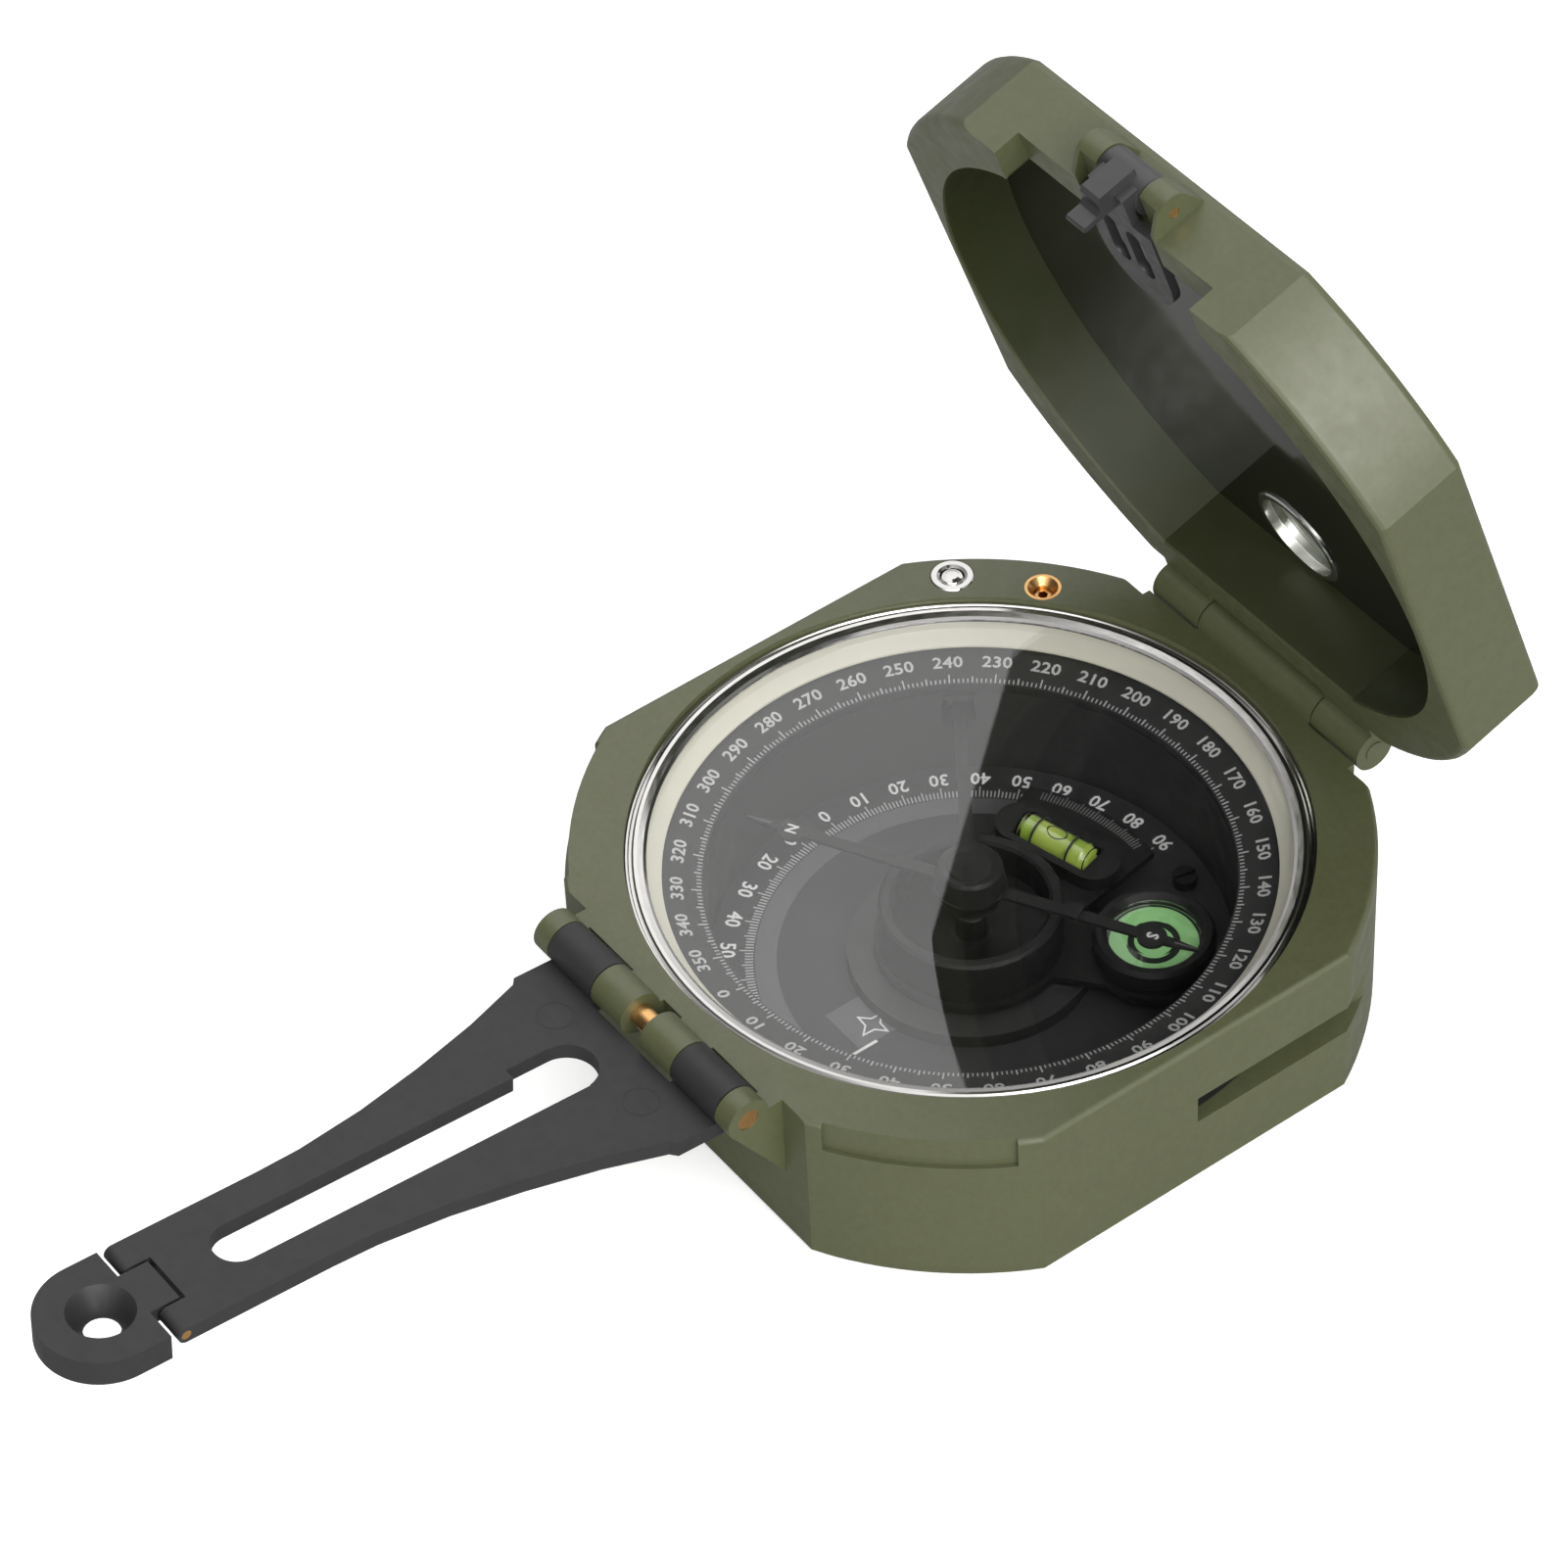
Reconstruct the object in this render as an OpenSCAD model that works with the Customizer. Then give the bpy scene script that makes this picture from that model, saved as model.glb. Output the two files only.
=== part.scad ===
// Pocket sighting compass with a mirror lid, a folding slotted sight arm,
// a clinometer with two spirit levels, and an adjustable azimuth ring.
// Millimetres. +Z is up, +Y points to the lid hinge, the sight arm is at -Y.
// Origin: middle of the flat underside, on the needle's axis.
// Every piece is drawn in the in-use pose: lid half open, sight arm out.

/* [Case] */
// Width across the two slotted flats
body_w = 71; // [60:0.5:90]
// Length across the two hinge flats
body_d = 70.2; // [60:0.2:90]
// Diameter of the four curved sides
body_dia = 80.4; // [70:0.2:100]
// Height of the case
body_h = 19.2; // [16:0.2:26]
// Thickness of the floor under the dial
floor_t = 1.5; // [1:0.1:3]
// Radius of the deep part of the dial well
well_r = 26.6; // [22:0.1:30]
// Radius of the wide part that holds the rings and the glass
seat_r = 34.2; // [32:0.1:34.4]

/* [Hinges] */
// Radius of the big hinge knuckles
knuckle_r = 2.35; // [2:0.05:3]
// Distance of the sight arm hinge from the origin
arm_axis_y = 39.06; // [38:0.02:42]
// Height of the sight arm hinge
arm_axis_z = 19.1; // [18:0.1:21]
// Distance of the lid hinge from the origin
lid_axis_y = 38.7; // [38:0.1:42]
// Height of the lid hinge
lid_axis_z = 19.3; // [18:0.1:21]
// Angle of the open lid above the case
lid_open = 71.5; // [0:0.5:150]
// Rise of the sight arm above level
arm_rise = 4.5; // [-40:0.5:90]

/* [Lid] */
// Height of the lid from rim to top
lid_h = 10.05; // [9:0.05:14]
// Gap between the closed lid and the case
lid_gap = 0.4; // [0.3:0.05:1]
// Distance of the hollow's two flats from the dial axis
lid_cav = 31.0; // [29:0.1:32]
// Radius of the hollow across its corners
lid_cav_r = 34.3; // [32:0.1:36]
// Depth of the mirror's face below the rim
mirror_depth = 7.8; // [6:0.1:9]
// Radius of the sighting window
window_r = 5.3; // [3:0.1:8]
// Distance of the window from the dial axis, towards the hinge
window_y = 24.8; // [15:0.1:25.2]

/* [Sight arm] */
// Half width of the arm at its root
arm_root = 13.6; // [12:0.1:15]
// Half width of the arm along its straight part
arm_half = 6.42; // [5:0.01:8]
// Thickness of the arm
arm_t = 1.8; // [1.5:0.1:2.2]
// Depth of the arm's face below the hinge axis
arm_drop = 1.3; // [1:0.1:1.8]
// Distance from the hinge to the peep pin
peep_pin_s = 57.0; // [50:0.5:60]
// Radius of the rounded end of the peep sight
peep_r = 6.42; // [5:0.01:8]

/* [Dial] */
// Direction of the needle's north end
needle_dir = 209; // [0:1:359]
// Length of half of the needle
needle_len = 24.4; // [20:0.1:25]
// Height of the needle blade
needle_z = 12.1; // [11.5:0.1:12.6]
// Direction of the clinometer arm
clino_dir = 104.5; // [91:0.5:271]
// Direction of the round level
bull_dir = 43; // [20:1:60]
// Turn of the azimuth ring from its zero mark
azimuth_turn = -3.5; // [-50:0.5:50]

/* [Buttons] */
// Distance of the lift button from the dial axis
lift_r = 37.4; // [37:0.1:37.6]
// Direction of the lift button
lift_dir = 144.7; // [140:0.1:150]
// Distance of the azimuth adjuster from the dial axis
adj_r = 36.3; // [36:0.1:36.6]
// Direction of the azimuth adjuster
adj_dir = 130; // [126:0.5:134]

/* [Output] */
// Node to show, or all

/* [Hidden] */
hx = body_w / 2;
hy = body_d / 2;
rr = body_dia / 2;
rim_z = body_h + lid_gap;
lid_top = rim_z + lid_h;
mirror_z = rim_z + mirror_depth;
mirror_t = 0.6;
run = 0.05;          // running clearance of a hinge bore
ledge_z = 12.6;      // ledge under the azimuth ring
step_z = 14.4;       // step under the ivory ring
lower_r = 33.9;      // bore around the azimuth ring
eps = 0.02;
pad_y = -36.25;      // face of the pad behind the arm's barrels
fine = 96;           // facets of round parts drawn at full detail
arm_pin_r = 1.2;
lid_pin_r = 1.1;
sight_pin_r = 0.6;
peep_pin_r = 0.55;
g_in = [1.5, 6.45];  // inner case knuckles of the arm hinge
g_out = [13.75, 16]; // outer case knuckles of the arm hinge
b_x = [6.6, 13.6];   // barrels of the sight arm
lid_mid = 8.7;       // half width of the case's middle lid knuckle
lid_out = [8.9, 16]; // outer lid knuckles
sight_y = -36.6;     // hinge of the small sight, on the closed lid
sight_z = 25.4;
sight_bar = 3.0;     // half width of its barrel
sight_lug = [3.15, 6.0];
sight_r = 2.1;
leaf_z = 22.5;       // underside of its leaf
notch_half = 14.2;   // notch in the lid for the sight arm
notch_top = 22.6;
peep_t = 3.0;
cup_r = 9.3;
clino_z = 3.9;       // underside of the clinometer plate
boss_r = 12.6;
boss_z = 3.4;
adj_flange = 33.6;
adj_pinion = 2.4;
lever_pivot_r = 28;  // pivot of the lift lever, from the dial axis
lever_z = 10.2;      // underside of the lift lever
lever_t = 0.5;
lever_mid = lever_z + lever_t / 2;
tube_r = 14.3;       // tube level, from the dial axis
tube_z = 6.0;
tube_half = 5.0;
block_h = 1.7;       // height of the block around the tube level
bull_r = 18.4;       // round level, from the dial axis
bull_top = 8.2;
leaf_y = -27.0;      // middle of the small sight's rounded end
needle_off = 0.55;   // half width of the needle before its tips
pad_r = 19.4;        // the needle's round pads, from the dial axis

/* ---------- shared shapes ---------- */
module outline(x, y, r) {
  intersection() {
    square([2 * x, 2 * y], center = true);
    circle(r = r, $fn = fine);
  }
}
module ring(r1, r2, z1, z2) {
  translate([0, 0, z1]) difference() {
    cylinder(r = r2, h = z2 - z1, $fn = fine);
    translate([0, 0, -1]) cylinder(r = r1, h = z2 - z1 + 2, $fn = fine);
  }
}
module xrod(r, x1, x2, n = 48) {
  translate([x1, 0, 0]) rotate([0, 90, 0]) cylinder(r = r, h = x2 - x1, $fn = n);
}
module at_arm_hinge() { translate([0, -arm_axis_y, arm_axis_z]) children(); }
module at_lid_hinge() { translate([0, lid_axis_y, lid_axis_z]) children(); }
// children drawn on the closed lid are swung to the open pose
module on_lid() {
  at_lid_hinge() rotate([-lid_open, 0, 0])
    translate([0, -lid_axis_y, -lid_axis_z]) children();
}
// children drawn with the arm level along -Y from its hinge at the origin
module on_arm() { at_arm_hinge() rotate([-arm_rise, 0, 0]) children(); }
module polar(r, a) { rotate([0, 0, a]) translate([r, 0, 0]) children(); }
// a slab in the Y-Z plane, pushed out along X from x1 to x2
module yz_slab(x1, x2, pts) {
  translate([x1, 0, 0]) rotate([90, 0, 90]) linear_extrude(x2 - x1) polygon(pts);
}
module both() { children(); mirror([1, 0, 0]) children(); }

/* ---------- case ---------- */
module arm_lug(x1, x2) {
  at_arm_hinge() xrod(knuckle_r, x1, x2);
  yz_slab(x1, x2, [[-arm_axis_y, arm_axis_z - knuckle_r], [-arm_axis_y, body_h],
    [-hy + 1, body_h], [-hy + 1, 13.2], [-hy, 13.2]]);
}
module arm_end_lug() {
  at_arm_hinge() xrod(knuckle_r, g_out[0], g_out[1]);
  // runs down to a point on the wall
  yz_slab(g_out[0], g_out[1], [[-arm_axis_y - 1.93, arm_axis_z - 1.28],
    [-arm_axis_y, body_h], [-hy + 1, body_h], [-hy + 1, 8.9], [-hy, 8.9]]);
}
module thumb_recess() {
  // shallow relief at the top of a curved side
  translate([0, 0, body_h - 3.4]) rotate([0, 0, -58.5]) rotate_extrude(angle = 27, $fn = fine)
    translate([rr - 0.55, 0]) square([2, 4]);
}
module tripod_slot() {
  // straight slot for a tripod bracket, open at one end
  translate([hx - 2.6, 0, 8.25]) cube([4, 40, 3.4]);
}
module case_blank() {
  linear_extrude(body_h) outline(hx, hy, rr);
  both() { arm_lug(g_in[0], g_in[1]); arm_end_lug(); }
  // pad that closes most of the gap behind the arm's barrels
  yz_slab(-g_out[0] - 0.1, g_out[0] + 0.1, [[pad_y, 17.2], [pad_y, body_h],
    [-hy + 1, body_h], [-hy + 1, 15.4], [-hy, 15.4]]);
  // pad under the lid's outer knuckles
  yz_slab(-lid_out[1] - 0.1, lid_out[1] + 0.1, [[hy - 1, 14.9], [hy, 14.9], [36.0, 16.4],
    [36.0, body_h], [hy - 1, body_h]]);
  // middle knuckle of the lid hinge
  at_lid_hinge() xrod(knuckle_r, -lid_mid, lid_mid);
  yz_slab(-lid_mid, lid_mid, [[hy - 1, 13], [hy, 13],
    [lid_axis_y + 1, lid_axis_z - knuckle_r + 0.2], [lid_axis_y, body_h],
    [hy - 1, body_h]]);
}
module case_body() color([0.42, 0.44, 0.34]) difference() {
  union() {
    difference() {
      case_blank();
      // dial well, ledges and the bore for the rings
      translate([0, 0, floor_t]) cylinder(r = well_r, h = 40, $fn = fine);
      translate([0, 0, ledge_z]) cylinder(r = lower_r, h = 40, $fn = fine);
      translate([0, 0, step_z]) cylinder(r = seat_r, h = 40, $fn = fine);
    }
    // raised boss inside the well, over the lever recess
    translate([0, 0, floor_t - 0.4])
      cylinder(r = boss_r, h = boss_z - floor_t + 0.4, $fn = fine);
  }
  // recess under the floor for the clinometer lever
  translate([0, 0, -1]) cylinder(r = 11.4, h = 2.95, $fn = fine);
  translate([0, 0, -1]) cylinder(r = 2.05, h = 8, $fn = 48);
  both() thumb_recess();
  tripod_slot();
  rotate([0, 0, 180]) tripod_slot();
  // hinge bores
  at_arm_hinge() xrod(arm_pin_r, -20, 20);
  at_lid_hinge() xrod(lid_pin_r + run, -20, 20);
  // pocket and hole of the needle lift
  rotate([0, 0, lift_dir]) {
    translate([well_r - 1.2, -1.7, 8.6]) cube([39.1 - well_r + 1.2, 3.4, 3.9]);
    translate([lift_r, 0, 12]) cylinder(r = 1.6, h = 12, $fn = 48);
    translate([lift_r, 0, body_h - 2]) cylinder(r = 2.3, h = 4, $fn = 48);
    translate([lift_r, 0, 7.2]) cylinder(r = 1.5, h = 3, $fn = 48);
    translate([lever_pivot_r, -4, lever_mid]) rotate([-90, 0, 0])
      cylinder(r = 0.5, h = 8, $fn = 32);
  }
  // hole and pocket of the azimuth adjuster
  polar(adj_r, adj_dir) {
    translate([0, 0, ledge_z - 0.1]) cylinder(r = 2.7, h = 2.2, $fn = 48);
    translate([0, 0, 14]) cylinder(r = 1.9, h = 8, $fn = 48);
  }
}
module scale_plate() color([0.08, 0.08, 0.08])
  ring(boss_r + 0.05, well_r - 0.1, floor_t, floor_t + 0.4);
module azimuth_index() color([0.9, 0.9, 0.88])
  // small fixed pointer at the well's edge, on the sight arm side
  translate([-0.35, -well_r + 0.02, floor_t + 0.4]) cube([0.7, 2.2, 0.35]);
module arm_hinge_pin() color([0.7, 0.52, 0.3])
  at_arm_hinge() xrod(arm_pin_r, -g_out[1] + 0.1, g_out[1] - 0.1);

/* ---------- rings and glass ---------- */
module azimuth_ring() color([0.08, 0.08, 0.08]) rotate([0, 0, azimuth_turn])
  rotate_extrude($fn = fine) polygon([[26.55, 12.9], [adj_flange, 12.9],
    [adj_flange, 13.8], [31.6, 13.8], [31.6, 14.75], [30.6, 14.75], [26.55, 13.8]]);
module ivory_ring() color([0.85, 0.84, 0.77]) rotate_extrude($fn = fine)
  polygon([[30.6, 15.1], [31.9, 15.1], [31.9, step_z], [seat_r - 0.05, step_z],
    [seat_r - 0.05, 15.6], [33.0, 15.6], [33.0, 16.85], [32.5, 16.85], [30.6, 15.35]]);
module glass_gasket() color([0.1, 0.1, 0.1]) rotate_extrude($fn = fine)
  polygon([[32.55, 16.85], [33.0, 16.85], [33.0, 17.0], [32.55, 17.0]]);
module crystal() color([0.8, 0.85, 0.85, 0.3])
  translate([0, 0, 17.0]) cylinder(r = 33.0, h = 0.9, $fn = fine);
module bezel_ring() color([0.8, 0.8, 0.8]) rotate_extrude($fn = fine)
  polygon([[33.02, 15.6], [seat_r - 0.05, 15.6], [seat_r - 0.05, 18.35], [34.05, 18.5],
    [33.85, 18.5], [33.75, 18.35], [33.75, 18.05], [33.45, 18.05], [33.45, 18.45],
    [33.25, 18.6], [32.9, 18.55], [32.3, 18.3], [32.0, 18.1], [32.0, 17.92],
    [33.02, 17.92]]);

/* ---------- azimuth adjuster ---------- */
module adjuster_bush() color([0.72, 0.55, 0.32]) polar(adj_r, adj_dir) difference() {
  translate([0, 0, 15.2]) cylinder(r = 1.9, h = 4, $fn = 48);
  translate([0, 0, 15]) cylinder(r = 0.95, h = 5, $fn = 48);
  translate([0, 0, 18.5]) cylinder(r1 = 0.95, r2 = 1.6, h = 0.71, $fn = 48);
}
module adjuster_pinion() color([0.66, 0.48, 0.28]) polar(adj_r, adj_dir) difference() {
  union() {
    translate([0, 0, 12.9]) cylinder(r = adj_pinion, h = 1.4, $fn = 48);
    translate([0, 0, 14.2]) cylinder(r = 0.9, h = 3.9, $fn = 48);
  }
  // hexagon socket for a key
  translate([0, 0, 16.4]) cylinder(r = 0.55, h = 3, $fn = 6);
}

/* ---------- needle lift ---------- */
module lift_bush() color([0.82, 0.82, 0.83]) polar(lift_r, lift_dir) rotate_extrude($fn = 48)
  polygon([[1.3, 17.2], [2.3, 17.2], [2.3, 19.15], [2.15, 19.3], [1.6, 19.3],
    [1.3, 19.1]]);
module lift_pin() color([0.85, 0.85, 0.86]) polar(lift_r, lift_dir) rotate_extrude($fn = 48)
  polygon([[0, 11.05], [1.2, 11.05], [1.2, 18.95], [1.05, 19.15], [0.6, 19.3], [0, 19.35]]);
module lift_spring() color([0.6, 0.6, 0.62]) polar(lift_r, lift_dir)
  for (k = [0:3]) translate([0, 0, 7.4 + 0.85 * k]) rotate_extrude($fn = 32)
    translate([1.05, 0]) circle(r = 0.2, $fn = 16);
module lift_lever() color([0.25, 0.25, 0.26]) rotate([0, 0, lift_dir]) difference() {
  union() {
    translate([2.6, -0.65, lever_z]) cube([lift_r + 1.1 - 2.6, 1.3, lever_t]);
    ring(1.6, 3.0, lever_z, lever_z + lever_t);
    translate([lever_pivot_r, 1.1, lever_mid]) rotate([90, 0, 0])
      cylinder(r = 1.0, h = 2.2, $fn = 32);
  }
  translate([lever_pivot_r, 4, lever_mid]) rotate([90, 0, 0])
    cylinder(r = 0.55, h = 8, $fn = 32);
  translate([0, 0, lever_z - 1]) cylinder(r = 1.6, h = 3, $fn = 48);
}
module lever_pin() color([0.6, 0.6, 0.62]) rotate([0, 0, lift_dir])
  translate([lever_pivot_r, 3.9, lever_mid]) rotate([90, 0, 0])
    cylinder(r = 0.5, h = 7.8, $fn = 32);
module lever_screw() color([0.35, 0.35, 0.36]) polar(23.6, 76) difference() {
  translate([0, 0, floor_t + 0.4]) cylinder(r = 1.3, h = 1.1, $fn = 48);
  translate([-2, -0.2, floor_t + 1.05]) cube([4, 0.4, 2]);
}

/* ---------- clinometer ---------- */
module clino_shaft() color([0.6, 0.6, 0.62]) union() {
  translate([0, 0, 0.3]) cylinder(r = 2.0, h = 5.0, $fn = 48);
  translate([0, 0, 5.3]) cylinder(r = 1.6, h = 1.2, $fn = 48);
}
module clino_lever() color([0.42, 0.44, 0.34]) rotate([0, 0, clino_dir]) difference() {
  union() {
    translate([0, 0, 0.35]) cylinder(r = 4.2, h = 1.2, $fn = 48);
    translate([0, -1.6, 0.35]) cube([10.6, 3.2, 1.2]);
    translate([9.1, 0, 0.35]) cylinder(r = 1.9, h = 1.2, $fn = 48);
  }
  translate([0, 0, 0]) cylinder(r = 2.0, h = 3, $fn = 48);
}
module clino_washer() color([0.6, 0.5, 0.3])
  ring(2.0, 4.0, boss_z + 0.1, clino_z);
module vernier_plate() color([0.1, 0.1, 0.1]) difference() {
  rotate([0, 0, clino_dir]) translate([0, 0, clino_z]) linear_extrude(0.8) difference() {
    union() {
      circle(r = cup_r + 0.6, $fn = fine);
      // sector that carries the tube level and the vernier edge
      intersection() {
        circle(r = 21.6, $fn = fine);
        polygon([[0, -6], [24, -8.2], [24, 8.2], [0, 6]]);
      }
      // branch under the round level
      rotate([0, 0, bull_dir - clino_dir]) {
        polygon([[0, -4], [bull_r, -5], [bull_r, 5], [0, 4]]);
        translate([bull_r, 0]) circle(r = 6.2, $fn = fine);
      }
    }
    circle(r = 2.0, $fn = 48);
  }
  // seat of the vial
  on_tube() vial(1.85, 4.55);
}
module damping_cup() color([0.12, 0.12, 0.12]) rotate_extrude($fn = fine)
  polygon([[2.02, clino_z + 0.8], [cup_r, clino_z + 0.8], [cup_r, 9.6], [cup_r - 0.3, 9.9],
    [cup_r - 1.1, 9.9], [cup_r - 1.4, 9.6], [cup_r - 1.4, 6.0], [2.02, 5.3]]);
module on_tube() {
  rotate([0, 0, clino_dir]) translate([tube_r, 0, tube_z]) rotate([90, 0, 0]) children();
}
// a rod with round ends, of radius r and half length a to the balls' centres
// vial body along Z: a cylinder with gently rounded ends
module vial(r, half) {
  rotate_extrude($fn = 48) polygon([[0, -half], [r - 0.7, -half], [r - 0.2, -half + 0.2],
    [r, -half + 0.7], [r, half - 0.7], [r - 0.2, half - 0.2], [r - 0.7, half], [0, half]]);
}
module capsule(r, a) {
  translate([0, 0, -a]) cylinder(r = r, h = 2 * a, $fn = 48);
  for (s = [-1, 1]) translate([0, 0, s * a]) sphere(r = r, $fn = 48);
}
module tube_bracket() color([0.1, 0.1, 0.1]) difference() {
  // block with round ends, cut out around the vial
  rotate([0, 0, clino_dir]) translate([tube_r, 0, clino_z + 0.8]) {
    translate([-2.7, -tube_half + 0.4, 0]) cube([5.4, 2 * tube_half - 0.8, block_h]);
    for (s = [-1, 1]) translate([0, s * (tube_half - 0.4), 0])
      cylinder(r = 2.7, h = block_h, $fn = 64);
  }
  on_tube() vial(1.85, 4.55);
  rotate([0, 0, clino_dir]) translate([tube_r - 1.86, -4.56, tube_z]) cube([3.72, 9.12, 4]);
}
module tube_vial() color([0.8, 0.85, 0.6, 0.5]) on_tube() difference() {
  vial(1.8, 4.5);
  vial(1.55, 4.25);
}
module tube_liquid() color([0.66, 0.75, 0.2]) on_tube() difference() {
  vial(1.5, 4.2);
  translate([0, 0.8, 0]) capsule(0.55, 1.0);
}
module tube_bubble() color([0.9, 0.95, 0.7]) on_tube() translate([0, 0.8, 0]) capsule(0.5, 1.0);
module on_bull() { polar(bull_r, bull_dir) children(); }
module bull_housing() color([0.12, 0.12, 0.12]) on_bull() rotate_extrude($fn = 64)
  polygon([[0, clino_z + 0.8], [5.7, clino_z + 0.8], [5.7, 5.6], [6.2, 6.2],
    [6.2, bull_top - 0.5], [5.8, bull_top], [5.2, bull_top], [4.7, bull_top - 0.5],
    [4.7, 5.9], [0, 5.9]]);
module bull_disc() color([0.55, 0.75, 0.5]) on_bull()
  translate([0, 0, 5.9]) cylinder(r = 4.7, h = 0.3, $fn = 64);
module bull_liquid() color([0.6, 0.8, 0.55, 0.4]) on_bull()
  translate([0, 0, 6.25]) cylinder(r = 4.65, h = 0.8, $fn = 64);
module bull_lens() color([0.8, 0.85, 0.85, 0.3]) on_bull() rotate_extrude($fn = 64)
  polygon([[0, 7.1], [4.7, 7.1], [4.7, 7.6], [3.2, 7.95], [1.6, 8.1], [0, 8.15]]);

/* ---------- needle ---------- */
module pivot_post() color([0.6, 0.6, 0.62]) rotate_extrude($fn = 48)
  polygon([[0, 6.5], [1.6, 6.5], [1.6, 8.2], [0.7, 9.0], [0.7, 11.6], [0.08, 12.85],
    [0, 12.85]]);
module needle_blade() color([0.12, 0.12, 0.13]) rotate([0, 0, needle_dir]) difference() {
  union() {
    translate([0, 0, needle_z]) linear_extrude(0.35) polygon([[-needle_len, 0.12],
      [-21.2, needle_off], [-3, 0.75], [3, 0.75], [21.2, needle_off], [needle_len, 0.12],
      [needle_len, -0.12], [21.2, -needle_off], [3, -0.75], [-3, -0.75],
      [-21.2, -needle_off], [-needle_len, -0.12]]);
    // round pads for the two letters, and the middle
    for (s = [-1, 1]) translate([s * pad_r, 0, needle_z]) cylinder(r = 1.5, h = 0.35, $fn = 48);
    translate([0, 0, needle_z]) cylinder(r = 3.7, h = 0.35, $fn = 64);
  }
  translate([0, 0, needle_z - 1]) cylinder(r = 1.3, h = 3, $fn = 48);
}
module needle_hub() color([0.15, 0.15, 0.16]) rotate_extrude($fn = 64)
  polygon([[0, 12.95], [0.9, 12.6], [0.9, needle_z - 0.15], [2.6, needle_z - 0.15],
    [2.6, needle_z], [1.3, needle_z], [1.3, needle_z + 0.35], [3.6, needle_z + 0.35],
    [3.3, 14.6], [3.0, 14.95], [2.5, 15.0], [2.1, 14.75], [0, 14.6]]);
module needle_weight() color([0.7, 0.55, 0.35]) rotate([0, 0, needle_dir])
  translate([-11, 0, needle_z + 0.35]) linear_extrude(0.35)
    square([1.6, 1.9], center = true);

/* ---------- sight arm ---------- */
// half outline of the arm: distance out from the hinge, half width
flare = [[7.0, 12.9], [13.4, 10.8], [21, 8.9], [28.5, 7.45], [36, arm_half + 0.15],
  [41, arm_half]];
module arm_plan() {
  half = concat([[2.35, arm_root], [6.4, arm_root]], flare, [[peep_pin_s, arm_half]]);
  n = len(half);
  polygon(concat([for (p = half) [p[1], -p[0]]],
    [for (i = [0:n - 1]) [-half[n - 1 - i][1], -half[n - 1 - i][0]]]));
}
module arm_slot() {
  union() {
    translate([-2.55, -47.25]) square([5.1, 38.5]);
    translate([0, -47.25]) circle(r = 2.55, $fn = 48);
    // wider part at the root, stepped on one side
    translate([-3.8, -14.2]) square([6.35, 5.0]);
    translate([-0.65, -9.3]) circle(r = 3.15, $fn = 48);
  }
}
module sight_arm() color([0.26, 0.26, 0.27]) on_arm() difference() {
  union() {
    translate([0, 0, -arm_drop - arm_t]) linear_extrude(arm_t) difference() {
      arm_plan();
      arm_slot();
      // fork for the tongue of the peep sight
      translate([-3.05, -peep_pin_s - 4]) square([6.1, 6.1]);
    }
    // rounded ends of the fork, around the peep pin
    both() translate([0, -peep_pin_s, -arm_drop - arm_t / 2])
      xrod(arm_t / 2, 3.05, arm_half, 32);
    both() {
      xrod(knuckle_r, b_x[0], b_x[1]);
      yz_slab(b_x[0], b_x[1], [[-2.45, -arm_drop], [-2.45, -arm_drop - arm_t],
        [-1.2, -arm_drop - arm_t], [0.9, -2.15], [0, 0], [-1.5, -arm_drop]]);
    }
  }
  // running bores and the clearance around the case knuckles
  xrod(arm_pin_r + run, -20, 20);
  xrod(knuckle_r + 0.3, -b_x[0], b_x[0]);
  // hole for the peep pin
  translate([0, -peep_pin_s, -arm_drop - arm_t / 2]) xrod(peep_pin_r, -10, 10, 32);
}
module peep_pin() color([0.72, 0.55, 0.32]) on_arm()
  translate([0, -peep_pin_s, -arm_drop - arm_t / 2])
    xrod(peep_pin_r, -arm_half + 0.05, arm_half - 0.05, 32);
module peep_sight() color([0.26, 0.26, 0.27]) on_arm()
  translate([0, -peep_pin_s, -arm_drop]) difference() {
    union() {
      translate([-2.75, -1.7, -arm_t]) cube([5.5, 3.35, arm_t]);
      translate([0, 0, -peep_t]) linear_extrude(peep_t) union() {
        translate([-peep_r, -5.2]) square([2 * peep_r, 3.6]);
        translate([0, -5.2]) intersection() {
          circle(r = peep_r, $fn = 64);
          translate([-10, -20]) square([20, 20.01]);
        }
      }
    }
    translate([0, -5.2, -peep_t - 1]) cylinder(r = 1.8, h = 6, $fn = 48);
    translate([0, -5.2, -peep_t + 0.6]) cylinder(r1 = 1.8, r2 = 3.35, h = peep_t - 0.6 + eps,
      $fn = 64);
    translate([0, 0, -arm_t / 2]) xrod(peep_pin_r + run, -10, 10, 32);
  }

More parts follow.
